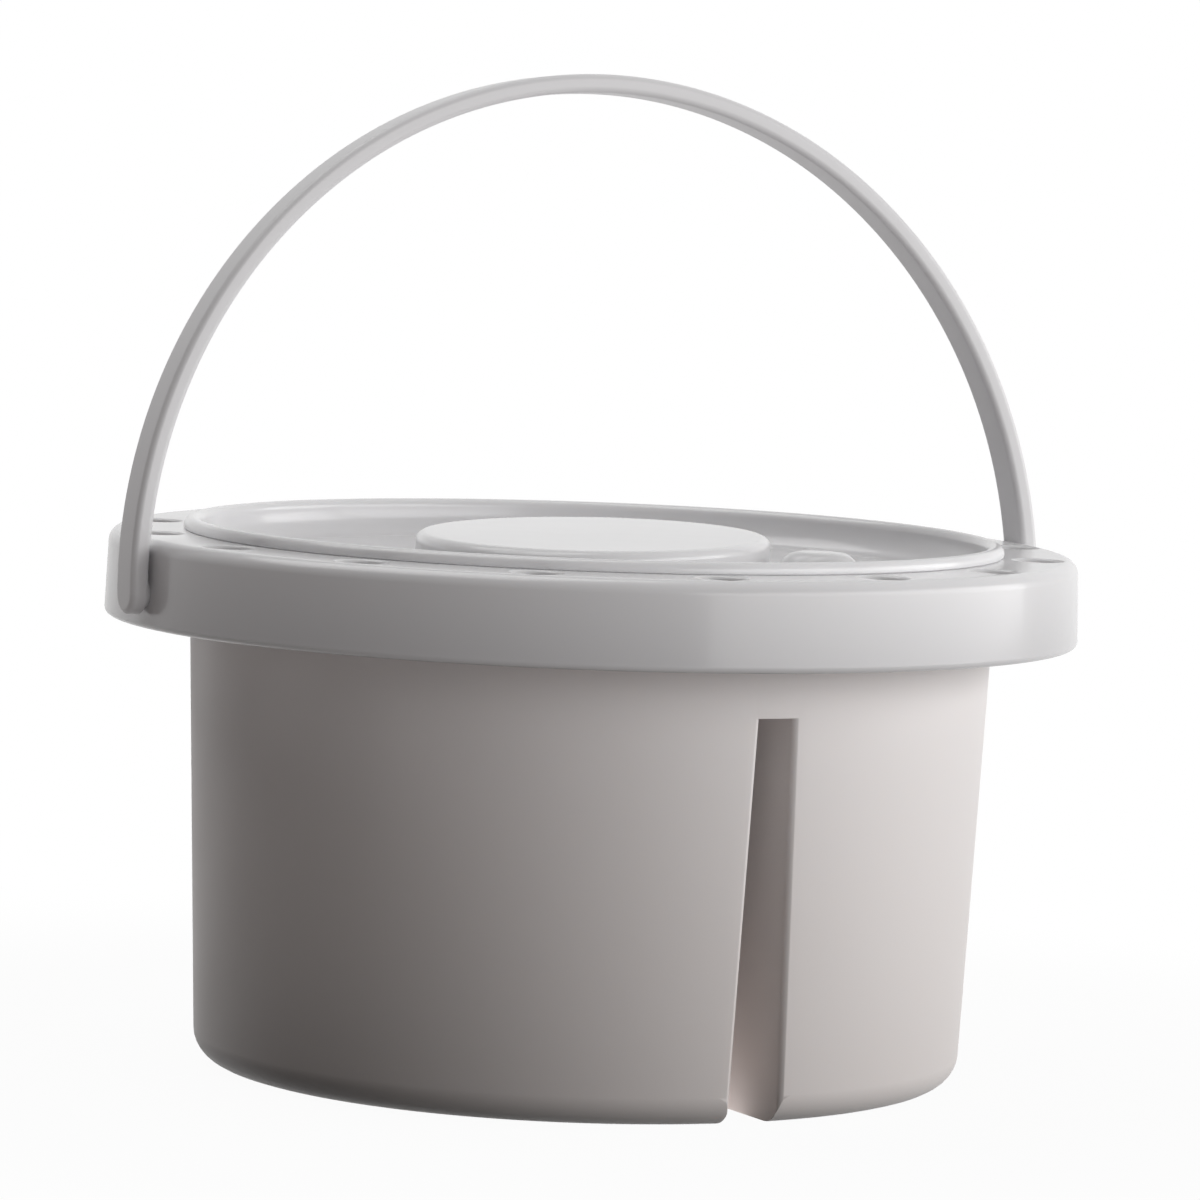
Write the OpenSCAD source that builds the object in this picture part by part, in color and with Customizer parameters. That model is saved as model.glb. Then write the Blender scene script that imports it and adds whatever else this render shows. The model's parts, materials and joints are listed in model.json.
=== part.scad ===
// Round brush washer: a two-compartment tub, a rim ring with brush holes,
// a lift-off lid with paint wells and a swinging handle.
// Millimetres. The origin is on the table, under the middle of the tub.
// X runs along the handle's pivots, Y runs along the divider, Z is up.

/* [Tub] */
// Radius of the tub's wall at the table, before its bottom edge is rounded
tub_base_r = 82.7; // [70:0.1:95]
// Radius of the tub's wall where the ring sits
tub_seat_r = 86.7; // [75:0.1:99]
// Height of the shelf that the ring rests on
seat_z = 100; // [90:0.5:140]
// Height of the tub's wall above that shelf
tub_lip_h = 5; // [3:0.5:7]
// Wall thickness of the tub
tub_wall = 2; // [1.2:0.1:3]
// Radius of the tub's rounded bottom edge
bottom_edge_r = 6.4; // [3:0.1:10]
// How far the shelf stands out from the wall
shelf_w = 2.6; // [1.5:0.1:3]
// Thickness of the shelf
shelf_t = 2; // [1.5:0.1:4]

/* [Divider] */
// Width of the hollow divider's slot at the table
slot_base_w = 11.6; // [8:0.1:18]
// Width of the slot at its top
slot_top_w = 7.7; // [5:0.1:8]
// Height of the slot
slot_h = 85; // [50:0.5:88]
// Distance of the divider from the middle, along X
divider_x = 0; // [-20:0.5:20]

/* [Rim ring] */
// Width of the hollow between the sleeve and the skirt, at its top
gutter_w = 13; // [12:0.1:20]
// How much smaller the skirt's radius is at the top
skirt_lean = 0.6; // [0:0.1:2]
// Height of the skirt
skirt_h = 18.6; // [16:0.1:24]
// Height of the ring's top face above its seat
ring_rise = 14.6; // [14:0.1:16]
// Wall thickness of the ring
ring_wall = 2; // [1.5:0.1:2.5]
// Wall thickness of the sleeve that slips over the tub
sleeve_wall = 2.6; // [1.5:0.1:3]
// Radius of the ring's rounded top edge
ring_edge_r = 3; // [1:0.1:4]

/* [Brush holes] */
// Number of brush holes round the ring
hole_count = 16; // [8:4:20]
// Radius of a brush hole
hole_r = 5.2; // [3:0.1:5.8]

/* [Lid] */
// Wall thickness of the lid
lid_wall = 1.6; // [1.2:0.1:2.4]
// Height of the lid's rolled lip above the ring
lip_h = 2.5; // [1.5:0.1:4]
// How far the lip lies over the ring
lip_overlap = 1.7; // [1:0.1:2.4]
// Depth of the lid's pan below the top of its lip
pan_depth = 8; // [7:0.1:9]
// Radius of the curve between the pan's wall and its floor
pan_edge_r = 3; // [1.5:0.1:4]

/* [Paint wells] */
// Half the length of the long oval well
oval_half_l = 55; // [40:0.5:62]
// Half the width of the long oval well
oval_half_w = 37.4; // [25:0.1:39]
// Turn of the oval's length from X
oval_turn = 51; // [0:1:180]
// Distance of the oval's top below the top of the lip
oval_drop = 1; // [0.5:0.1:2.5]
// Radius of the round well
round_r = 9.1; // [5:0.1:12]
// Gap between the oval well and the round one
well_gap = 4.5; // [2:0.1:20]
// Distance of the round well's top below the top of the lip
round_drop = 1.7; // [0.5:0.1:3]
// Radius of the wells' rounded edge
well_edge_r = 2.2; // [1.7:0.1:2.8]

/* [Handle] */
// Width of the handle's strap
strap_w = 9; // [7:0.1:12]
// Thickness of the strap
strap_t = 4; // [2.8:0.1:6]
// Radius of the strap's rounded corners
strap_edge_r = 1.3; // [0.3:0.1:1.3]
// Gap between the crown and the skirt when the handle lies level
fold_gap = 2.4; // [1.5:0.1:20]
// Rise of the line on which the arch's side arcs meet its crown
join_rise = 4; // [3:0.1:5]
// Run of that line for its rise
join_run = 3; // [2.5:0.1:4]
// Angle that the handle leans back
lean = 3.5; // [0:0.5:20]

/* [Pivots] */
// Height of the pivots above the skirt's lower edge
pivot_rise = 7.5; // [6.5:0.1:9]
// Radius of the pivot studs
stud_r = 3; // [2:0.1:3.4]
// Length of the bearing in the ring, from the skirt's outside
ear_l = 5; // [4:0.1:7]
// Wall round the pivot bore
ear_wall = 2.6; // [2:0.1:3]
// How far the stud's snap head stands out past the stud
snap_lip = 0.8; // [0.4:0.1:1.2]
// Length of the snap head
snap_l = 1.8; // [1.2:0.1:2.5]
// Width of the cut that lets the snap head close
snap_cut_w = 1.2; // [0.6:0.1:1.6]

/* [Fits] */
// Gap between the ring's sleeve and the tub, on the radius
ring_fit = 0.1; // [0.05:0.01:0.3]
// Gap between the lid's pan and the ring's sleeve, on the radius
lid_fit = 0.4; // [0.2:0.05:0.6]
// Gap between a stud and its bore, on the radius
stud_fit = 0.05; // [0.02:0.01:0.09]
// Gap between the handle's ends and the skirt, and behind the snap heads
side_gap = 0.5; // [0.4:0.05:0.7]

/* [Hidden] */
$fn = 96;

// Far more than any size here, for cuts that run right through
through = 400;
// Least rounding inside a wall whose outside is rounded
least_inner_r = 0.5;

tub_h = seat_z + tub_lip_h;
tub_draft = (tub_seat_r - tub_base_r) / seat_z;
inner_edge_r = max(bottom_edge_r - tub_wall, least_inner_r);

opening_r = tub_seat_r + ring_fit;
sleeve_r = opening_r + sleeve_wall;
ring_top_z = seat_z + ring_rise;
gutter_r = sleeve_r + gutter_w;
skirt_r = gutter_r + ring_wall + skirt_lean;
skirt_z = ring_top_z - skirt_h;
skirt_slope = skirt_lean / skirt_h;
hole_circle_r = (sleeve_r + gutter_r) / 2;

lip_top_z = ring_top_z + lip_h;
lip_r = opening_r + lip_overlap;
pan_r = opening_r - lid_fit;
pan_in_r = pan_r - lid_wall;
pan_floor_z = lip_top_z - pan_depth;
lid_bottom_z = pan_floor_z - lid_wall;
lip_round_r = min(lip_r - pan_in_r, lip_h * 2) / 2;
well_inner_edge_r = max(well_edge_r - lid_wall, least_inner_r);
round_dist = oval_half_w + well_gap + round_r;

pivot_z = skirt_z + pivot_rise;
pivot_skirt_r = skirt_r - skirt_slope * (pivot_z - skirt_z);
strap_mid_x = skirt_r + side_gap + strap_t / 2;
arch_h = skirt_r + fold_gap + strap_t / 2;
// The side arcs leave the pivots upright and meet the crown without a corner
join_angle = atan2(join_rise, join_run);
radius_step = (arch_h - strap_mid_x) / (sin(join_angle) + cos(join_angle) - 1);
side_r = strap_mid_x + radius_step * cos(join_angle);
crown_r = side_r - radius_step;
crown_z = arch_h - crown_r;
ear_in_x = pivot_skirt_r - ear_l;
ear_r = stud_r + stud_fit + ear_wall;

function wall_r(z) = tub_base_r + tub_draft * min(z, seat_z);
function skirt_out_r(z) = skirt_r - skirt_slope * (z - skirt_z);
function unit(v) = v / norm(v);

// Outline through the points, with the corner at index k rounded to radius r by a true arc
module rounded_outline(points, k, r) {
    n = len(points);
    q = points[k];
    a = unit(points[(k + n - 1) % n] - q);
    b = unit(points[(k + 1) % n] - q);
    half = acos(a * b) / 2;
    t1 = q + a * r / tan(half);
    t2 = q + b * r / tan(half);
    c = q + unit(a + b) * r / sin(half);
    polygon([for (i = [0 : n - 1]) each i == k ? [t1, c, t2] : [points[i]]]);
    intersection() {
        translate(c)
            circle(r);
        polygon([t1, q, t2, c]);
    }
}

// Wedge that runs along Y, symmetric about its middle plane
module wedge(base_w, top_w, z0, z1) {
    translate([divider_x, through / 2, 0])
        rotate([90, 0, 0])
            linear_extrude(through)
                polygon([[-base_w / 2, z0], [base_w / 2, z0], [top_w / 2, z1], [-top_w / 2, z1]]);
}

// Half outline of the tub's outside or inside, with a quarter arc at its bottom edge
module tub_outline(base_z, inset, edge_r, top_z) {
    edge_z = base_z + edge_r;
    edge_x = wall_r(edge_z) - inset;
    seat_x = wall_r(seat_z) - inset;
    polygon([[0, base_z], [edge_x - edge_r, base_z], [edge_x - edge_r, edge_z], [edge_x, edge_z],
        [seat_x, seat_z], [seat_x, top_z], [0, top_z]]);
    translate([edge_x - edge_r, edge_z])
        intersection() {
            circle(edge_r);
            translate([0, -edge_r])
                square(edge_r);
        }
}

module tub_outside() {
    rotate_extrude()
        tub_outline(0, 0, bottom_edge_r, tub_h);
    translate([0, 0, seat_z - shelf_t])
        cylinder(r = tub_seat_r + shelf_w, h = shelf_t);
}

module tub_inside() {
    rotate_extrude()
        tub_outline(tub_wall, tub_wall, inner_edge_r, tub_h + tub_wall);
}

module divider_outside() {
    slot_slope = (slot_base_w - slot_top_w) / slot_h;
    base_w = slot_base_w + 2 * tub_wall;
    wedge(base_w, base_w - slot_slope * (slot_h + tub_wall), 0, slot_h + tub_wall);
}

module divider_slot() {
    slot_slope = (slot_base_w - slot_top_w) / slot_h;
    wedge(slot_base_w + slot_slope * tub_wall, slot_top_w, -tub_wall, slot_h);
}

module tub() {
    color("gainsboro")
        difference() {
            tub_outside();
            difference() {
                tub_inside();
                divider_outside();
            }
            divider_slot();
        }
}

// Solid form of the ring's outside, from the skirt's lower edge to its top face
module ring_outside() {
    rotate_extrude()
        rounded_outline([[0, skirt_z], [skirt_out_r(skirt_z), skirt_z], [skirt_out_r(ring_top_z), ring_top_z],
            [0, ring_top_z]], 2, ring_edge_r);
}

// Hollow between the sleeve and the skirt, open below
module ring_hollow() {
    roof_z = ring_top_z - ring_wall;
    low_z = skirt_z - ring_wall;
    inner_round = max(ring_edge_r - ring_wall, least_inner_r);
    rotate_extrude()
        rounded_outline([[sleeve_r, low_z], [skirt_out_r(low_z) - ring_wall, low_z],
            [skirt_out_r(roof_z) - ring_wall, roof_z], [sleeve_r, roof_z]], 2, inner_round);
}

module brush_holes() {
    for (i = [0 : hole_count - 1])
        rotate(360 / hole_count * (i + 0.5))
            translate([hole_circle_r, 0, skirt_z])
                cylinder(r = hole_r, h = skirt_h + ring_wall);
}

// Bearing blocks inside the skirt, one at each end of the X axis
module pivot_ears() {
    for (side = [0, 180])
        rotate(side)
            translate([ear_in_x, 0, pivot_z])
                rotate([0, 90, 0])
                    cylinder(r = ear_r, h = ear_l - ring_wall / 2);
}

// Bores through the bearing blocks and the skirt
module pivot_bores() {
    for (side = [0, 180])
        rotate(side)
            translate([ear_in_x - ring_wall, 0, pivot_z])
                rotate([0, 90, 0])
                    cylinder(r = stud_r + stud_fit, h = ear_l + 2 * ring_wall);
}

module rim_ring() {
    color("white")
        difference() {
            union() {
                difference() {
                    ring_outside();
                    ring_hollow();
                    translate([0, 0, -ring_wall])
                        cylinder(r = sleeve_r, h = seat_z + ring_wall);
                }
                pivot_ears();
            }
            cylinder(r = opening_r, h = ring_top_z + ring_wall);
            brush_holes();
            pivot_bores();
        }
}

// Raised block with a rounded top edge, on the middle of the lid
module well_block(r, top_z) {
    rotate_extrude()
        rounded_outline([[0, lid_bottom_z], [r, lid_bottom_z], [r, top_z], [0, top_z]], 2, well_edge_r);
}

module well_hollow(r, top_z) {
    in_r = r - lid_wall;
    low_z = lid_bottom_z - lid_wall;
    rotate_extrude()
        rounded_outline([[0, low_z], [in_r, low_z], [in_r, top_z - lid_wall], [0, top_z - lid_wall]],
            2, well_inner_edge_r);
}

module at_oval() {
    rotate(oval_turn)
        children();
}

// The round well lies beside the middle of the oval
module at_round_well() {
    rotate(oval_turn - 90)
        translate([round_dist, 0, 0])
            children();
}

// The oval is a round block drawn out along its length
module oval_stretch(length, width) {
    scale([length / width, 1, 1])
        children();
}

module lid_pan() {
    difference() {
        union() {
            translate([0, 0, lid_bottom_z])
                cylinder(r = pan_r, h = ring_top_z - lid_bottom_z);
            rotate_extrude()
                rounded_outline([[0, ring_top_z], [lip_r, ring_top_z], [lip_r, lip_top_z], [0, lip_top_z]],
                    2, lip_round_r);
        }
        rotate_extrude()
            rounded_outline([[0, pan_floor_z], [pan_in_r, pan_floor_z], [pan_in_r, lip_top_z + lid_wall],
                [0, lip_top_z + lid_wall]], 1, pan_edge_r);
    }
}

module lid() {
    color("whitesmoke")
        difference() {
            union() {
                lid_pan();
                at_oval()
                    oval_stretch(oval_half_l, oval_half_w)
                        well_block(oval_half_w, lip_top_z - oval_drop);
                at_round_well()
                    well_block(round_r, lip_top_z - round_drop);
            }
            at_oval()
                oval_stretch(oval_half_l - lid_wall, oval_half_w - lid_wall)
                    well_hollow(oval_half_w, lip_top_z - oval_drop);
            at_round_well()
                well_hollow(round_r, lip_top_z - round_drop);
        }
}

// Cross-section of the strap: thickness along X, width along Y
module strap_section() {
    x = strap_t / 2 - strap_edge_r;
    y = strap_w / 2 - strap_edge_r;
    square([strap_t, 2 * y], center = true);
    square([2 * x, strap_w], center = true);
    for (sx = [-x, x], sy = [-y, y])
        translate([sx, sy])
            circle(strap_edge_r);
}

// Round end of the strap, half a turn about the pivot axis
module strap_end() {
    rotate([0, 90, 0])
        rotate(-90)
            rotate_extrude(angle = 180)
                intersection() {
                    rotate(90)
                        strap_section();
                    translate([0, -strap_t])
                        square([strap_w, 2 * strap_t]);
                }
}

// Stud through the skirt, with a split head that snaps in behind the bearing
module pivot_stud() {
    head_x = ear_in_x - side_gap - snap_l;
    difference() {
        translate([head_x, 0, 0])
            rotate([0, 90, 0])
                union() {
                    cylinder(r = stud_r, h = strap_mid_x - head_x);
                    cylinder(r1 = stud_r, r2 = stud_r + snap_lip, h = snap_l / 2);
                    translate([0, 0, snap_l / 2])
                        cylinder(r = stud_r + snap_lip, h = snap_l / 2);
                }
        translate([head_x - snap_l, -snap_cut_w / 2, -2 * stud_r])
            cube([2 * snap_l + ear_l / 2, snap_cut_w, 4 * stud_r]);
    }
}

// Full turn of the strap about a centre
module strap_turn(centre, r) {
    translate(centre)
        rotate_extrude()
            translate([r, 0])
                strap_section();
}

// Everything on the crown's side of the line where the side arc meets it
module beyond_join() {
    translate([0, crown_z, -through / 2])
        rotate(join_angle)
            translate([-through, 0, 0])
                cube([2 * through, through, through]);
}

module below_pivots() {
    translate([-through, -through, -through / 2])
        cube([2 * through, through, through]);
}

module handle() {
    color("white")
        translate([0, 0, pivot_z])
            rotate([-lean, 0, 0]) {
                rotate([90, 0, 0]) {
                    for (flip = [0, 1])
                        mirror([flip, 0, 0])
                            difference() {
                                strap_turn([strap_mid_x - side_r, 0], side_r);
                                below_pivots();
                                beyond_join();
                            }
                    intersection() {
                        strap_turn([0, crown_z], crown_r);
                        beyond_join();
                        mirror([1, 0, 0])
                            beyond_join();
                    }
                }
                for (side = [0, 180])
                    rotate(side) {
                        translate([strap_mid_x, 0, 0])
                            strap_end();
                        pivot_stud();
                    }
            }
}

tub();
rim_ring();
lid();
handle();
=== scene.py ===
import json
from math import atan2, cos, pi, radians, sin, sqrt, tan

import bmesh
import bpy
from mathutils import Matrix, Vector


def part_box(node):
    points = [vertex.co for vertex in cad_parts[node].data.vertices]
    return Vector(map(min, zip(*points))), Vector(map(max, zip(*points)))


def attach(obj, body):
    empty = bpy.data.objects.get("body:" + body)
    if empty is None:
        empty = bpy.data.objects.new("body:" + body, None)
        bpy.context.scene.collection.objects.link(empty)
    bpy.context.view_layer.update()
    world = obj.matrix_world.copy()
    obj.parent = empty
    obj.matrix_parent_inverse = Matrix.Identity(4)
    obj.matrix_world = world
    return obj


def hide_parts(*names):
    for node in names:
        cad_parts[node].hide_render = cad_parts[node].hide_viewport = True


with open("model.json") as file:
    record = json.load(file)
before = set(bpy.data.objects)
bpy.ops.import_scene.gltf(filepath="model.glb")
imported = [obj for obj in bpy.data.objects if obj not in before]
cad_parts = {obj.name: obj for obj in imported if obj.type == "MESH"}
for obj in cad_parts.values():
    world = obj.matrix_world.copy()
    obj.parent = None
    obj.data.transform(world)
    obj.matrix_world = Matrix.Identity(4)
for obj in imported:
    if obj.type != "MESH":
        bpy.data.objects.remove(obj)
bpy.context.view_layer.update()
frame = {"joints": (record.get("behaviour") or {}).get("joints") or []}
mm = 0.001
tiny = 0.01 * mm  # closer than this is the same place
seam = tiny / 5  # vertices closer than this are merged

# places that the pieces share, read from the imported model
tubLow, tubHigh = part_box("tub")
ringLow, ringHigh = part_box("rim_ring")
lidLow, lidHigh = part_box("lid")
handleLow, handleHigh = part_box("handle")
swing = next(j for j in frame["joints"] if j["name"] == "handle_swing")
pivotZ = swing["pos_m"][2]


# tools for shaping

def startFresh():
    if bpy.context.object and bpy.context.object.mode != "OBJECT":
        bpy.ops.object.mode_set(mode="OBJECT")
    bpy.ops.object.select_all(action="DESELECT")


def makeActive(piece):
    startFresh()
    piece.select_set(True)
    bpy.context.view_layer.objects.active = piece


def pickVerts(piece, test):  # selects the vertices that pass the test, in edit mode
    bpy.ops.mesh.select_all(action="DESELECT")
    bpy.ops.mesh.select_mode(type="VERT")
    shape = bmesh.from_edit_mesh(piece.data)
    for v in shape.verts:
        v.select = test(v.co)
    shape.select_flush(True)
    bmesh.update_edit_mesh(piece.data)


def drawOutline(name, points, closed=False):  # one vertex pulled from point to point
    points = [Vector(p) for p in points]
    startFresh()
    bpy.ops.mesh.primitive_plane_add(size=mm)
    piece = bpy.context.object
    piece.name = piece.data.name = name
    bpy.ops.object.mode_set(mode="EDIT")
    bpy.ops.mesh.select_mode(type="VERT")
    bpy.ops.mesh.select_all(action="SELECT")
    bpy.ops.mesh.merge(type="CENTER")
    bpy.ops.transform.translate(value=points[0])
    for here, there in zip(points, points[1:]):
        bpy.ops.mesh.extrude_vertices_move(TRANSFORM_OT_translate={"value": there - here})
    if closed:
        ends = (points[0], points[-1])
        pickVerts(piece, lambda co: min((co - e).length for e in ends) < tiny)
        bpy.ops.mesh.edge_face_add()
    return piece


def roundCorners(piece, corners, steps):  # corners is a list of place, radius
    for place, radius in corners:
        place = Vector(place)
        pickVerts(piece, lambda co: (co - place).length < tiny)
        bpy.ops.mesh.bevel(affect="VERTICES", offset=radius, segments=steps, profile=0.5)


def spinRound(piece, steps, axis=(0, 0, 1), centre=(0, 0, 0), angle=2 * pi):
    bpy.ops.mesh.select_all(action="SELECT")
    bpy.ops.mesh.spin(steps=steps, angle=angle, center=centre, axis=axis)
    closeUp()


def closeUp():  # merges seams and poles, and turns the faces outwards
    bpy.ops.mesh.select_all(action="SELECT")
    bpy.ops.mesh.remove_doubles(threshold=seam)
    bpy.ops.mesh.normals_make_consistent(inside=False)
    bpy.ops.object.mode_set(mode="OBJECT")


def combine(piece, tool, how):
    makeActive(piece)
    step = piece.modifiers.new("shape", "BOOLEAN")
    step.operation = how
    step.solver = "EXACT"
    step.object = tool
    bpy.ops.object.modifier_apply(modifier=step.name)
    bpy.data.objects.remove(tool)


def finishPiece(piece, node, body, material, sharpFrom=32):
    makeActive(piece)
    bpy.ops.object.mode_set(mode="EDIT")
    bpy.ops.mesh.select_all(action="SELECT")
    bpy.ops.mesh.remove_doubles(threshold=seam)
    bpy.ops.mesh.dissolve_degenerate(threshold=seam)
    bpy.ops.object.mode_set(mode="OBJECT")
    bpy.ops.object.shade_smooth_by_angle(angle=radians(sharpFrom))
    steady = piece.modifiers.new("steady", "WEIGHTED_NORMAL")
    steady.keep_sharp = True
    bpy.ops.object.modifier_apply(modifier=steady.name)
    piece.data.materials.clear()
    piece.data.materials.append(material)
    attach(piece, body)
    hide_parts(node)
    print(piece.name, "made,", len(piece.data.polygons), "faces")


# plastics

plasticIor = 1.5
softReach = (1.0, 0.9, 0.8)  # how far red, green and blue travel below the surface
noiseLow, noiseHigh = 0.3, 0.7  # a noise mostly stays between these
glossyWhite = dict(  # painted shade: darker on the skirt than on top
    foot=(0.655, 0.65, 0.66), crest=(0.83, 0.825, 0.835), footZ=98 * mm, crestZ=117 * mm,
    cloudSize=14.0, cloudShare=0.1, specular=0.4,
    rough=0.24, roughSpread=0.03, smearSize=30.0,
    grainSize=900.0, grainDepth=0.0003 * mm, rippleSize=38.0, rippleDepth=0.03 * mm,
    coat=0.2, coatRough=0.08, soft=0.1, softDepth=2 * mm,
)
handleWhite = dict(  # one tone all along the strap, and a softer shine
    glossyWhite, foot=(0.79, 0.785, 0.795), footZ=0, crestZ=1, coat=0.0, rough=0.34, soft=0.0,
)
satinWhite = dict(  # painted shade: a little darker and warmer towards the foot
    foot=(0.78, 0.73, 0.71), crest=(0.87, 0.835, 0.825), footZ=0, crestZ=80 * mm,
    cloudSize=11.0, cloudShare=0.15, specular=0.22,
    rough=0.45, roughSpread=0.06, smearSize=25.0,
    grainSize=2100.0, grainDepth=0.005 * mm, rippleSize=26.0, rippleDepth=0.05 * mm,
    coat=0.0, coatRough=0.2, soft=0.15, softDepth=2 * mm,
)


def addRamp(tree, source, start, end, low=0.0, high=1.0):  # start and end become low and high
    ramp = tree.nodes.new("ShaderNodeMapRange")
    ends = (start, end, low, high)
    for key, value in zip(("From Min", "From Max", "To Min", "To Max"), ends):
        ramp.inputs[key].default_value = value
    tree.links.new(source, ramp.inputs["Value"])
    return ramp


def makePlastic(name, look):
    material = bpy.data.materials.new(name)
    material.use_nodes = True
    tree = material.node_tree
    shader = tree.nodes["Principled BSDF"]
    shader.inputs["IOR"].default_value = plasticIor
    shader.inputs["Specular IOR Level"].default_value = look["specular"]
    shader.inputs["Coat Weight"].default_value = look["coat"]
    shader.inputs["Coat Roughness"].default_value = look["coatRough"]
    shader.inputs["Subsurface Weight"].default_value = look["soft"]
    shader.inputs["Subsurface Radius"].default_value = softReach
    shader.inputs["Subsurface Scale"].default_value = look["softDepth"]
    place = tree.nodes.new("ShaderNodeTexCoord")

    def clouds(size, detail):
        noise = tree.nodes.new("ShaderNodeTexNoise")
        noise.inputs["Scale"].default_value = size
        noise.inputs["Detail"].default_value = detail
        tree.links.new(place.outputs["Object"], noise.inputs["Vector"])
        return noise.outputs["Fac"]

    parts = tree.nodes.new("ShaderNodeSeparateXYZ")
    tree.links.new(place.outputs["Object"], parts.inputs[0])
    height = addRamp(tree, parts.outputs["Z"], look["footZ"], look["crestZ"])
    half = look["cloudShare"] / 2
    spread = addRamp(tree, clouds(look["cloudSize"], 1), noiseLow, noiseHigh, -half, half)
    level = tree.nodes.new("ShaderNodeMath")  # from foot to crest, with shade painted darker low down, and the faint clouding of moulded plastic
    level.use_clamp = True
    tree.links.new(height.outputs["Result"], level.inputs[0])
    tree.links.new(spread.outputs["Result"], level.inputs[1])
    tone = tree.nodes.new("ShaderNodeMix")
    tone.data_type = "RGBA"
    tone.inputs["A"].default_value = (*look["foot"], 1)
    tone.inputs["B"].default_value = (*look["crest"], 1)
    tree.links.new(level.outputs["Value"], tone.inputs["Factor"])
    tree.links.new(tone.outputs["Result"], shader.inputs["Base Color"])

    half = look["roughSpread"] / 2  # handling marks change the gloss
    smears = clouds(look["smearSize"], 2)
    wear = addRamp(tree, smears, noiseLow, noiseHigh, look["rough"] - half, look["rough"] + half)
    tree.links.new(wear.outputs["Result"], shader.inputs["Roughness"])

    ripple = tree.nodes.new("ShaderNodeBump")  # the wall's slow waviness
    ripple.inputs["Distance"].default_value = look["rippleDepth"]
    tree.links.new(clouds(look["rippleSize"], 1), ripple.inputs["Height"])
    grain = tree.nodes.new("ShaderNodeBump")  # the mould's fine grain
    grain.inputs["Distance"].default_value = look["grainDepth"]
    tree.links.new(clouds(look["grainSize"], 2), grain.inputs["Height"])
    tree.links.new(ripple.outputs["Normal"], grain.inputs["Normal"])
    tree.links.new(grain.outputs["Normal"], shader.inputs["Normal"])
    return material


ringPlastic = makePlastic("ringPlastic", glossyWhite)
lidPlastic = makePlastic("lidPlastic", glossyWhite)
handlePlastic = makePlastic("handlePlastic", handleWhite)
tubPlastic = makePlastic("tubPlastic", satinWhite)
print("plastics mixed")


# tub: a turned shell, with a hollow divider that is open below

tub = dict(
    wall=2 * mm, baseR=82.7 * mm, seatR=86.7 * mm, seatZ=100 * mm, shelf=2 * mm,
    bottomRound=6.4 * mm, rimRound=0.7 * mm, edgeRound=0.4 * mm, steps=240, bend=8,
    slotBase=11.6 * mm, slotTop=7.7 * mm, slotH=85 * mm, mouthRound=1.6 * mm, mouthTurn=75,
    edgeBend=3, rimBend=4, cutOver=1 * mm, mouthRise=2 * mm,
)


def tubRadius(z):
    return tub["baseR"] + (tub["seatR"] - tub["baseR"]) * min(z, tub["seatZ"]) / tub["seatZ"]


def makeTubShell():
    t, z1 = tub["wall"], tub["seatZ"]
    z0, top = z1 - tub["shelf"], tubHigh.z
    shelfR, inR = tubHigh.x, tub["seatR"] - t
    points = [(0, 0), (tub["baseR"], 0), (tubRadius(z0), z0), (shelfR, z0), (shelfR, z1), (tub["seatR"], z1),
              (tub["seatR"], top), (inR, top), (inR, z1), (tubRadius(t) - t, t), (0, t)]
    points = [(x, 0, z) for x, z in points]
    outBottom, inBottom = points[1], points[9]
    shell = drawOutline("tubShell", points)
    roundCorners(shell, [(outBottom, tub["bottomRound"]), (inBottom, tub["bottomRound"] - t)], tub["bend"])
    roundCorners(shell, [(place, tub["edgeRound"]) for place in points[3:5]], tub["edgeBend"])
    roundCorners(shell, [(place, tub["rimRound"]) for place in points[6:8]], tub["rimBend"])
    spinRound(shell, tub["steps"])
    return shell


def wedgeBlock(name, baseHalf, topHalf, length, z0, z1):  # a block that narrows upwards
    startFresh()
    middleZ = (z0 + z1) / 2
    scale = (2 * baseHalf, 2 * length, z1 - z0)
    bpy.ops.mesh.primitive_cube_add(size=1, location=(0, 0, middleZ), scale=scale)
    block = bpy.context.object
    block.name = name
    bpy.ops.object.transform_apply(location=True, rotation=False, scale=True)
    bpy.ops.object.mode_set(mode="EDIT")
    pickVerts(block, lambda co: co.z > middleZ)
    bpy.ops.transform.resize(value=(topHalf / baseHalf, 1, 1), center_override=(0, 0, z1))
    bpy.ops.object.mode_set(mode="OBJECT")
    return block


def makeDivider():  # the hollow divider's outer walls, cut to the inside of the shell
    slope = (tub["slotBase"] - tub["slotTop"]) / 2 / tub["slotH"]
    z0, z1 = tub["wall"] / 2, tub["slotH"] + tub["wall"]
    half = tub["slotBase"] / 2 + tub["wall"]
    block = wedgeBlock("divider", half - slope * z0, half - slope * z1, tub["seatR"], z0, z1)
    inset = tub["wall"] / 2
    points = [(0, inset), (tub["baseR"] - inset, inset), (tubRadius(z1) - inset, z1 + inset), (0, z1 + inset)]
    points = [(x, 0, z) for x, z in points]
    core = drawOutline("core", points)
    roundCorners(core, [(points[1], tub["bottomRound"] - inset)], tub["bend"])
    spinRound(core, tub["steps"])
    combine(block, core, "INTERSECT")
    return block


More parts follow.
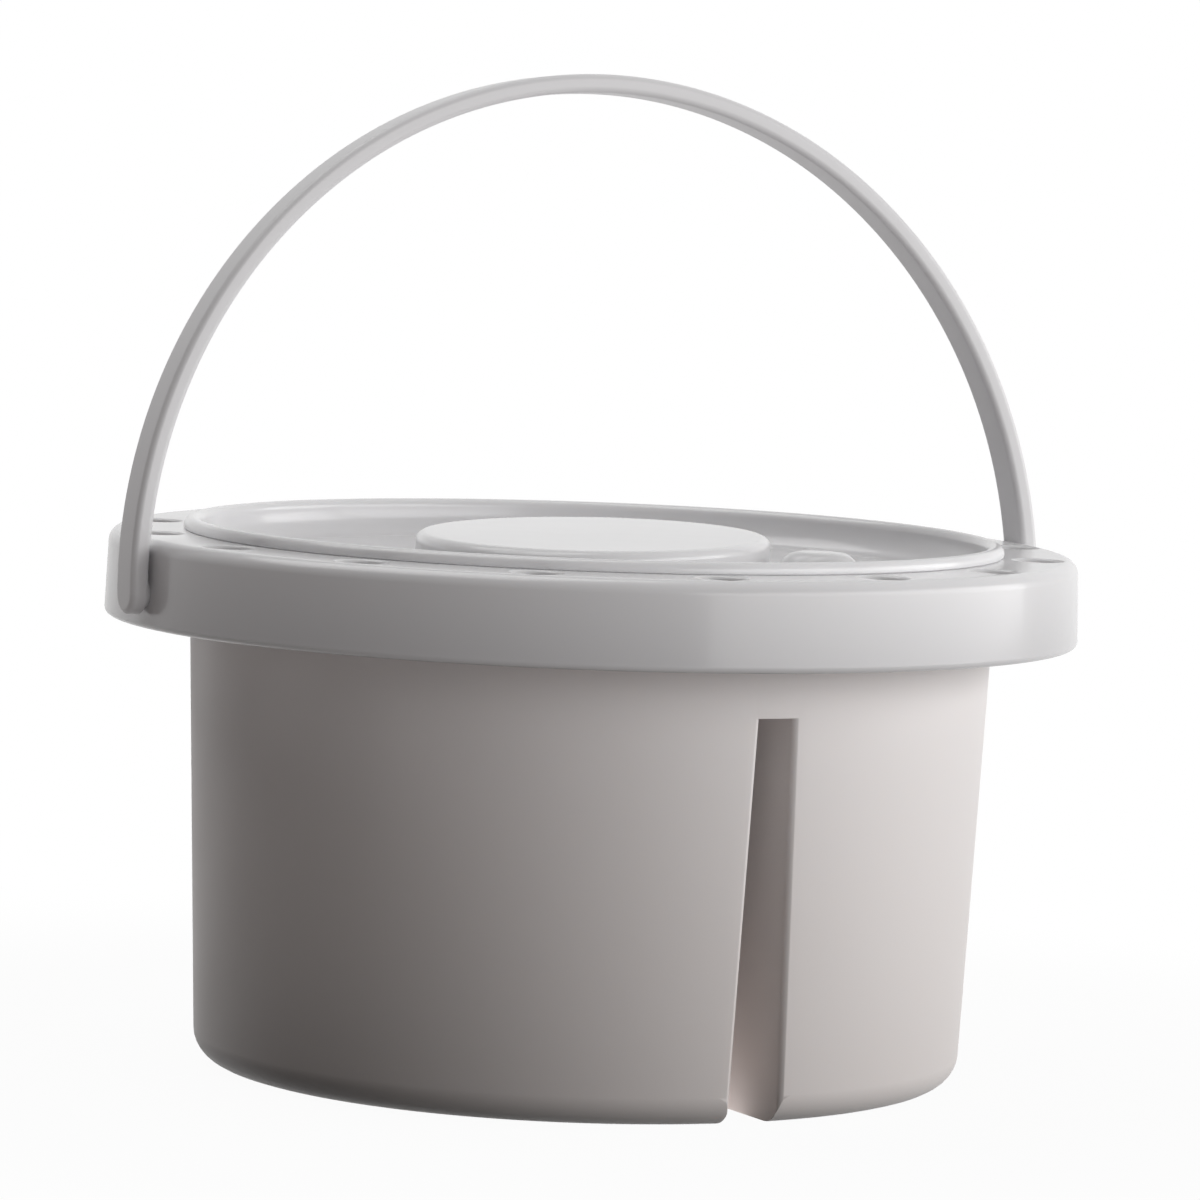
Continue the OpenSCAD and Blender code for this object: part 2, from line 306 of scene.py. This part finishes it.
def makeSlotCutter():  # a wedge whose mouths flare, so that the slot's edges come out rounded
    z0, z1 = -tub["cutOver"], tub["slotH"]
    slope = (tub["slotBase"] - tub["slotTop"]) / 2 / tub["slotH"]
    half0, half1 = tub["slotBase"] / 2 - slope * z0, tub["slotTop"] / 2
    reach0 = sqrt(tubRadius(z0) ** 2 - half0 ** 2)
    reach1 = sqrt(tubRadius(z1) ** 2 - half1 ** 2)
    r, last = tub["mouthRound"], radians(tub["mouthTurn"])
    mouth = []
    for k in range(tub["bend"] + 1):
        a = last * k / tub["bend"]
        mouth.append((half0 + r * (1 - cos(a)), reach0 - r + r * sin(a)))
    endX, endY = mouth[-1]
    mouth.append((endX + tub["mouthRise"] * tan(last), endY + tub["mouthRise"]))
    corner = [(x, y, z0) for x, y in mouth]
    points = corner + [(-x, y, z) for x, y, z in reversed(corner)]
    points += [(-x, -y, z) for x, y, z in corner] + [(x, -y, z) for x, y, z in reversed(corner)]
    cutter = drawOutline("slotCutter", points, closed=True)
    bpy.ops.mesh.select_all(action="SELECT")
    bpy.ops.mesh.edge_face_add()
    bpy.ops.mesh.extrude_region_move(TRANSFORM_OT_translate={"value": (0, 0, z1 - z0)})
    for sx in (-1, 1):
        for sy in (-1, 1):
            pickVerts(cutter, lambda co: co.z > z1 - tiny and co.x * sx > 0 and co.y * sy > 0)
            bpy.ops.transform.translate(value=(sx * (half1 - half0), sy * (reach1 - reach0), 0))
    closeUp()
    return cutter


tubShell = makeTubShell()
combine(tubShell, makeDivider(), "UNION")
combine(tubShell, makeSlotCutter(), "DIFFERENCE")
finishPiece(tubShell, "tub", "washer", tubPlastic)


# rim ring: a turned section with ears for the handle and holes for brushes

ring = dict(
    wall=2 * mm, sleeve=2.6 * mm, opening=86.8 * mm, seatZ=100 * mm, lean=0.6 * mm, steps=240,
    topRound=3 * mm, innerRound=0.9 * mm, hollowRound=1 * mm, lowRound=1.3 * mm, edgeRound=0.5 * mm,
    holes=16, holeR=5.2 * mm, holeRound=0.7 * mm, holeSteps=48,
    earLength=5 * mm, earR=5.65 * mm, boreR=3.05 * mm, boreOver=2 * mm, rodSteps=64,
    topBend=8, bend=4, holeBend=6,
)


def makeRingBody():
    low, top, t = ringLow.z, ringHigh.z, ring["wall"]
    outR, inR, sleeveR = ringHigh.x, ring["opening"], ring["opening"] + ring["sleeve"]
    topR = outR - ring["lean"]
    points = [(outR, low), (topR, top), (inR, top), (inR, ring["seatZ"]), (sleeveR, ring["seatZ"]),
              (sleeveR, top - t), (topR - t, top - t), (outR - t, low)]
    points = [(x, 0, z) for x, z in points]
    body = drawOutline("rimRing", points, closed=True)
    rounds = ("lowRound", "topRound", "innerRound", "edgeRound", "edgeRound", "hollowRound", "hollowRound",
              "edgeRound")
    for point, key in zip(points, rounds):
        roundCorners(body, [(point, ring[key])], ring["topBend"] if key == "topRound" else ring["bend"])
    spinRound(body, ring["steps"])
    return body


def rodAlongX(name, radius, x0, x1, z):
    startFresh()
    bpy.ops.mesh.primitive_cylinder_add(vertices=ring["rodSteps"], radius=radius, depth=abs(x1 - x0),
                                        location=((x0 + x1) / 2, 0, z), rotation=(0, pi / 2, 0))
    rod = bpy.context.object
    rod.name = name
    bpy.ops.object.transform_apply(location=True, rotation=True, scale=True)
    return rod


def joinAll(pieces):
    startFresh()
    for piece in pieces:
        piece.select_set(True)
    bpy.context.view_layer.objects.active = pieces[0]
    bpy.ops.object.join()
    return bpy.context.object


def makeHoleCutters():
    top, r, f = ringHigh.z, ring["holeR"], ring["holeRound"]
    low, edge, over = ringLow.z - mm, top - f / 4, top + 3 * f / 4
    points = [(0, low), (r, low), (r, edge), (r + 4 * f, over), (0, over)]
    points = [(x, 0, z) for x, z in points]
    cutter = drawOutline("holeCutter", points)
    roundCorners(cutter, [(points[2], f)], ring["holeBend"])
    spinRound(cutter, ring["holeSteps"])
    circleR = (ring["opening"] + ring["sleeve"] + ringHigh.x - ring["lean"] - ring["wall"]) / 2
    cutters = []
    for k in range(ring["holes"]):
        a = 2 * pi * (k + 0.5) / ring["holes"]
        one = cutter.copy()
        one.data = cutter.data.copy()
        one.location = (circleR * cos(a), circleR * sin(a), 0)
        bpy.context.scene.collection.objects.link(one)
        cutters.append(one)
    bpy.data.objects.remove(cutter)
    tool = joinAll(cutters)
    bpy.ops.object.transform_apply(location=True, rotation=True, scale=True)
    return tool


rimRing = makeRingBody()
skirtX = ringHigh.x - ring["lean"] * (pivotZ - ringLow.z) / (ringHigh.z - ringLow.z)
for side in (-1, 1):
    inX = side * (skirtX - ring["earLength"])
    ear = rodAlongX("ear", ring["earR"], inX, side * (skirtX - ring["wall"] / 2), pivotZ)
    combine(rimRing, ear, "UNION")
    over = side * ring["boreOver"]
    bore = rodAlongX("bore", ring["boreR"], inX - over, side * skirtX + over, pivotZ)
    combine(rimRing, bore, "DIFFERENCE")
combine(rimRing, makeHoleCutters(), "DIFFERENCE")
finishPiece(rimRing, "rim_ring", "washer", ringPlastic)


# lid: a turned pan with a long oval block and a small round one

lid = dict(
    wall=1.6 * mm, panR=86.4 * mm, panDepth=8 * mm, lipH=2.5 * mm, steps=240,
    lipRound=1.75 * mm, panRound=5.5 * mm, bottomRound=2.4 * mm, edgeRound=0.4 * mm,
    ovalLong=55 * mm, ovalWide=37.4 * mm, ovalTurn=51, ovalDrop=1 * mm,
    roundR=9.1 * mm, roundOut=49.5 * mm, roundDrop=2.4 * mm,
    ovalRound=2.1 * mm, domeRound=5.2 * mm, footRound=0.8 * mm,
    panBend=7, blockBend=6, blockSteps=160,
)


def makeLidPan():
    top = lidHigh.z
    rest, floor, low = top - lid["lipH"], top - lid["panDepth"], lidLow.z
    panR, inR, lipR = lid["panR"], lid["panR"] - lid["wall"], lidHigh.x
    points = [(0, low), (panR, low), (panR, rest), (lipR, rest), (lipR, top), (inR, top), (inR, floor),
              (0, floor)]
    points = [(x, 0, z) for x, z in points]
    pan = drawOutline("lidPan", points)
    for k, key in ((1, "bottomRound"), (3, "edgeRound"), (4, "lipRound"), (5, "lipRound"), (6, "panRound")):
        roundCorners(pan, [(points[k], lid[key])], lid["panBend"])
    spinRound(pan, lid["steps"])
    return pan


def blockShape(name, radius, top, low, topRound, footRound):
    if footRound:  # the foot spreads into the floor
        foot, under = low + footRound / 2, low - footRound / 2
        points = [(0, top), (radius, top), (radius, foot), (radius + 3 * footRound, under), (0, under)]
    else:
        points = [(0, top), (radius, top), (radius, low), (0, low)]
    points = [(x, 0, z) for x, z in points]
    block = drawOutline(name, points)
    corners = [(points[1], topRound)]
    if footRound:
        corners.append((points[2], footRound))
    roundCorners(block, corners, lid["blockBend"])
    spinRound(block, lid["blockSteps"])
    return block


def placeBlock(block, stretch, turn, out):
    makeActive(block)
    bpy.ops.object.mode_set(mode="EDIT")
    bpy.ops.mesh.select_all(action="SELECT")
    bpy.ops.transform.resize(value=(stretch, 1, 1), center_override=(0, 0, 0))
    bpy.ops.object.mode_set(mode="OBJECT")
    block.rotation_euler = (0, 0, radians(turn))
    block.location = (out * cos(radians(turn)), out * sin(radians(turn)), 0)
    bpy.ops.object.transform_apply(location=True, rotation=True, scale=True)
    return block


def addBlock(pan, radius, drop, edge, stretchTo, turn, out):
    top, t = lidHigh.z - drop, lid["wall"]
    floor = lidHigh.z - lid["panDepth"]
    solid = blockShape("block", radius, top, floor, edge, lid["footRound"])
    combine(pan, placeBlock(solid, stretchTo / radius, turn, out), "UNION")
    hollow = blockShape("hollow", radius - t, top - t, lidLow.z - mm, edge - t, 0)
    combine(pan, placeBlock(hollow, (stretchTo - t) / (radius - t), turn, out), "DIFFERENCE")


lidPan = makeLidPan()
addBlock(lidPan, lid["ovalWide"], lid["ovalDrop"], lid["ovalRound"], lid["ovalLong"], lid["ovalTurn"], 0)
roundTurn = lid["ovalTurn"] - 90
addBlock(lidPan, lid["roundR"], lid["roundDrop"], lid["domeRound"], lid["roundR"], roundTurn, lid["roundOut"])
finishPiece(lidPan, "lid", "lid", lidPlastic)


# handle: a strap of three arcs with round ends, and a snap stud at each end

handle = dict(
    width=9 * mm, thick=4 * mm, round=1.3 * mm, gap=0.5 * mm, foldGap=2.4 * mm, rise=4, run=3,
    lean=3.5, sideSteps=40, crownSteps=56, endSteps=32,
    studR=3 * mm, snapLip=0.8 * mm, snapLength=1.8 * mm, snapCut=1.2 * mm, studSteps=48, cornerBend=6,
)


def makeStrap():
    midX = ringHigh.x + handle["gap"] + handle["thick"] / 2
    archH = ringHigh.x + handle["foldGap"] + handle["thick"] / 2
    join = atan2(handle["rise"], handle["run"])
    step = (archH - midX) / (sin(join) + cos(join) - 1)
    sideR = midX + step * cos(join)
    crownZ = archH - (sideR - step)
    startFresh()
    bpy.ops.mesh.primitive_plane_add(size=1, location=(midX, 0, pivotZ))
    strap = bpy.context.object
    strap.name = strap.data.name = "handleStrap"
    strap.scale = (handle["thick"], handle["width"], 1)
    bpy.ops.object.transform_apply(location=True, rotation=True, scale=True)
    bpy.ops.object.mode_set(mode="EDIT")
    bpy.ops.mesh.select_mode(type="VERT")
    bpy.ops.mesh.select_all(action="SELECT")
    bpy.ops.mesh.bevel(affect="VERTICES", offset=handle["round"],
                       segments=handle["cornerBend"], profile=0.5)
    half = handle["thick"] / 2
    for x in (midX - half, midX + half):  # a vertex halfway along each flat side
        pickVerts(strap, lambda co: abs(co.x - x) < tiny)
        bpy.ops.mesh.subdivide(number_cuts=1)
    bpy.ops.mesh.select_all(action="SELECT")
    bpy.ops.mesh.delete(type="ONLY_FACE")
    bpy.ops.mesh.select_all(action="SELECT")
    turns = [(midX - sideR, 0, join, handle["sideSteps"]), (0, crownZ, pi - 2 * join, handle["crownSteps"]),
             (sideR - midX, 0, join, handle["sideSteps"])]
    for x, z, angle, steps in turns:
        bpy.ops.mesh.spin(steps=steps, angle=angle, center=(x, 0, pivotZ + z), axis=(0, 1, 0))
    for side in (-1, 1):  # the round ends: half of the section's edge, turned half round the pivot
        pickVerts(strap, lambda co: co.x * side > 0 and abs(co.z - pivotZ) < tiny and co.y > -tiny)
        bpy.ops.mesh.spin(steps=handle["endSteps"], angle=pi, center=(0, 0, pivotZ), axis=(1, 0, 0))
    closeUp()
    return strap, midX


def makeStud(side, midX):
    inX = skirtX - ring["earLength"] - handle["gap"]
    r, big, headX = handle["studR"], handle["studR"] + handle["snapLip"], inX - handle["snapLength"]
    bigX = inX - handle["snapLength"] / 2
    points = [(midX, 0), (midX, r), (inX, r), (inX, big), (bigX, big), (headX, r), (headX, 0)]
    points = [(side * x, 0, pivotZ + z) for x, z in points]
    stud = drawOutline("stud", points)
    spinRound(stud, handle["studSteps"], axis=(1, 0, 0), centre=(0, 0, pivotZ))
    cutDepth = 2 * handle["snapLength"] + ring["earLength"] / 2
    startFresh()
    cutX = headX - handle["snapLength"] + cutDepth / 2
    bpy.ops.mesh.primitive_cube_add(size=1, location=(side * cutX, 0, pivotZ),
                                    scale=(cutDepth, handle["snapCut"], 4 * r))
    slit = bpy.context.object
    bpy.ops.object.transform_apply(location=True, rotation=True, scale=True)
    combine(stud, slit, "DIFFERENCE")
    return stud


handleStrap, strapX = makeStrap()
for side in (-1, 1):
    combine(handleStrap, makeStud(side, strapX), "UNION")
makeActive(handleStrap)
bpy.ops.object.mode_set(mode="EDIT")
bpy.ops.mesh.select_all(action="SELECT")
bpy.ops.transform.rotate(value=radians(handle["lean"]), orient_axis="X", center_override=(0, 0, pivotZ))
bpy.ops.object.mode_set(mode="OBJECT")
finishPiece(handleStrap, "handle", "handle", handlePlastic)

for made, node in ((tubShell, "tub"), (rimRing, "rim_ring"), (lidPan, "lid"), (handleStrap, "handle")):
    corners = [made.matrix_world @ Vector(c) for c in made.bound_box]
    low = [min(c[i] for c in corners) for i in range(3)]
    high = [max(c[i] for c in corners) for i in range(3)]
    cadLow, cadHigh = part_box(node)
    print(made.name, "box differs by", [round(1000 * (low[i] - cadLow[i]), 2) for i in range(3)],
          [round(1000 * (high[i] - cadHigh[i]), 2) for i in range(3)], "mm")


# floor, light and camera

stage = dict(
    floorR=4.0, seenTone=0.80, whiteNear=0.955, whiteFrom=0.16, whiteTo=0.30,
    bounce=0.27, bounceFrom=0.10, bounceTo=0.26, bounceColour=(1.0, 0.93, 0.91),
    under=1.0, underFrom=0.062, underTo=0.076,
    worldFill=0.035, fillColour=(1.0, 0.84, 0.80),
    keyPower=25.0, keyWide=3.0, keyHigh=0.9, keyTurn=73, keyLift=12, keyDistance=1.4,
    topPower=11.0, topWide=1.2, topHigh=1.2, topTurn=-120, topLift=68, topDistance=1.5, aimShare=0.6,
)
filmWide = 36
photoWide, focalPixels, pixelsPerMm = 1200, 6483, 4.6  # the last at the object's distance
photo = dict(  # the photograph's own view, in a frame of 1200 by 1200
    yaw=27.0, tilt=4.679, roll=2.138, distance=focalPixels / pixelsPerMm * mm,
    sideways=8.06 / pixelsPerMm * mm, upwards=466.25 / pixelsPerMm * mm,
    lens=filmWide * focalPixels / photoWide,
)


def viewAxes():
    yaw, tilt = radians(photo["yaw"]), radians(photo["tilt"])
    right = Vector((cos(yaw), -sin(yaw), 0))
    away = Vector((sin(yaw), cos(yaw), 0))
    forward = away * cos(tilt) - Vector((0, 0, 1)) * sin(tilt)
    return right, away, forward, right.cross(forward)


def seenDirectly(tree):  # 1 for what the camera sees straight, in a reflection or through glass
    rays = tree.nodes.new("ShaderNodeLightPath")
    total = rays.outputs["Is Camera Ray"]
    for key in ("Is Glossy Ray", "Is Transmission Ray"):
        either = tree.nodes.new("ShaderNodeMath")
        either.operation = "MAXIMUM"
        tree.links.new(total, either.inputs[0])
        tree.links.new(rays.outputs[key], either.inputs[1])
        total = either.outputs["Value"]
    return total


def addFloor():
    startFresh()
    bpy.ops.mesh.primitive_circle_add(vertices=96, radius=stage["floorR"], fill_type="NGON")
    floor = bpy.context.object
    floor.name = "floor"
    material = bpy.data.materials.new("floorPaper")
    material.cycles.emission_sampling = "NONE"  # its faint glow is found by the bounced light alone
    material.use_nodes = True
    tree = material.node_tree
    paper = tree.nodes["Principled BSDF"]
    paper.inputs["Roughness"].default_value = 1.0
    paper.inputs["Specular IOR Level"].default_value = 0.0
    seen = seenDirectly(tree)
    paper.inputs["Base Color"].default_value = (stage["seenTone"],) * 3 + (1,)
    place = tree.nodes.new("ShaderNodeTexCoord")
    away = tree.nodes.new("ShaderNodeVectorMath")
    away.operation = "LENGTH"
    tree.links.new(place.outputs["Object"], away.inputs[0])

    def fade(start, end, low, high):
        ramp = addRamp(tree, away.outputs["Value"], stage[start], stage[end], low, high)
        ramp.interpolation_type = "SMOOTHSTEP"
        return ramp.outputs["Result"]

    def glow(colour, strength):
        light = tree.nodes.new("ShaderNodeEmission")
        light.inputs["Color"].default_value = (*colour, 1)
        if isinstance(strength, float):
            light.inputs["Strength"].default_value = strength
        else:
            tree.links.new(strength, light.inputs["Strength"])
        return light.outputs["Emission"]

    def blend(factor, first, second):
        mix = tree.nodes.new("ShaderNodeMixShader")
        tree.links.new(factor, mix.inputs["Fac"])
        tree.links.new(first, mix.inputs[1])
        tree.links.new(second, mix.inputs[2])
        return mix.outputs["Shader"]

    # seen straight or mirrored it is white paper with a light shadow; its soft bounce is darker close by
    share = fade("whiteFrom", "whiteTo", stage["whiteNear"], 1)
    white = blend(share, paper.outputs["BSDF"], glow((1, 1, 1), 1.0))
    total = tree.nodes.new("ShaderNodeMath")
    tree.links.new(fade("bounceFrom", "bounceTo", 0, stage["bounce"]), total.inputs[0])
    tree.links.new(fade("underFrom", "underTo", stage["under"], 0), total.inputs[1])  # lights the slot
    soft = glow(stage["bounceColour"], total.outputs["Value"])
    tree.links.new(blend(seen, soft, white), tree.nodes["Material Output"].inputs["Surface"])
    floor.data.materials.append(material)


def addWorld():
    world = bpy.data.worlds.new("studio")
    bpy.context.scene.world = world
    world.use_nodes = True
    tree = world.node_tree
    back = tree.nodes["Background"]
    seen = seenDirectly(tree)
    tone = tree.nodes.new("ShaderNodeMix")
    tone.data_type = "RGBA"
    tone.inputs["A"].default_value = (*stage["fillColour"], 1)
    tone.inputs["B"].default_value = (1, 1, 1, 1)
    tree.links.new(seen, tone.inputs["Factor"])
    tree.links.new(tone.outputs["Result"], back.inputs["Color"])
    strength = addRamp(tree, seen, 0, 1, stage["worldFill"])
    tree.links.new(strength.outputs["Result"], back.inputs["Strength"])


def addLamp(name, aim):  # turn is measured to the right of the camera's side, lift above the floor
    turn, lift = radians(stage[name + "Turn"]), radians(stage[name + "Lift"])
    way = (right * sin(turn) - away * cos(turn)) * cos(lift) + Vector((0, 0, sin(lift)))
    startFresh()
    bpy.ops.object.light_add(type="AREA", location=aim + way * stage[name + "Distance"])
    lamp = bpy.context.object
    lamp.name = name + "Lamp"
    lamp.data.shape = "RECTANGLE"
    lamp.data.size, lamp.data.size_y = stage[name + "Wide"], stage[name + "High"]
    lamp.data.energy = stage[name + "Power"]
    lamp.rotation_euler = (-way).to_track_quat("-Z", "Y").to_euler()
    return lamp


right, away, forward, up = viewAxes()
middle = Vector((0, 0, ringHigh.z * stage["aimShare"]))
addFloor()
addWorld()
addLamp("key", middle)
addLamp("top", middle)

startFresh()
bpy.ops.object.camera_add()
camera = bpy.context.object
camera.location = right * photo["sideways"] + up * photo["upwards"] - forward * photo["distance"]
camera.rotation_mode = "QUATERNION"
camera.data.sensor_width = filmWide
camera.data.lens = photo["lens"]
camera.data.clip_start, camera.data.clip_end = 0.05, 50
bpy.context.scene.camera = camera
roll = radians(photo["roll"])
rolledRight = right * cos(roll) + up * sin(roll)
rolledUp = up * cos(roll) - right * sin(roll)
turned = Matrix((rolledRight, rolledUp, -forward)).transposed()
camera.rotation_quaternion = turned.to_quaternion()
bpy.context.scene.view_settings.view_transform = "Standard"
print("stage set")
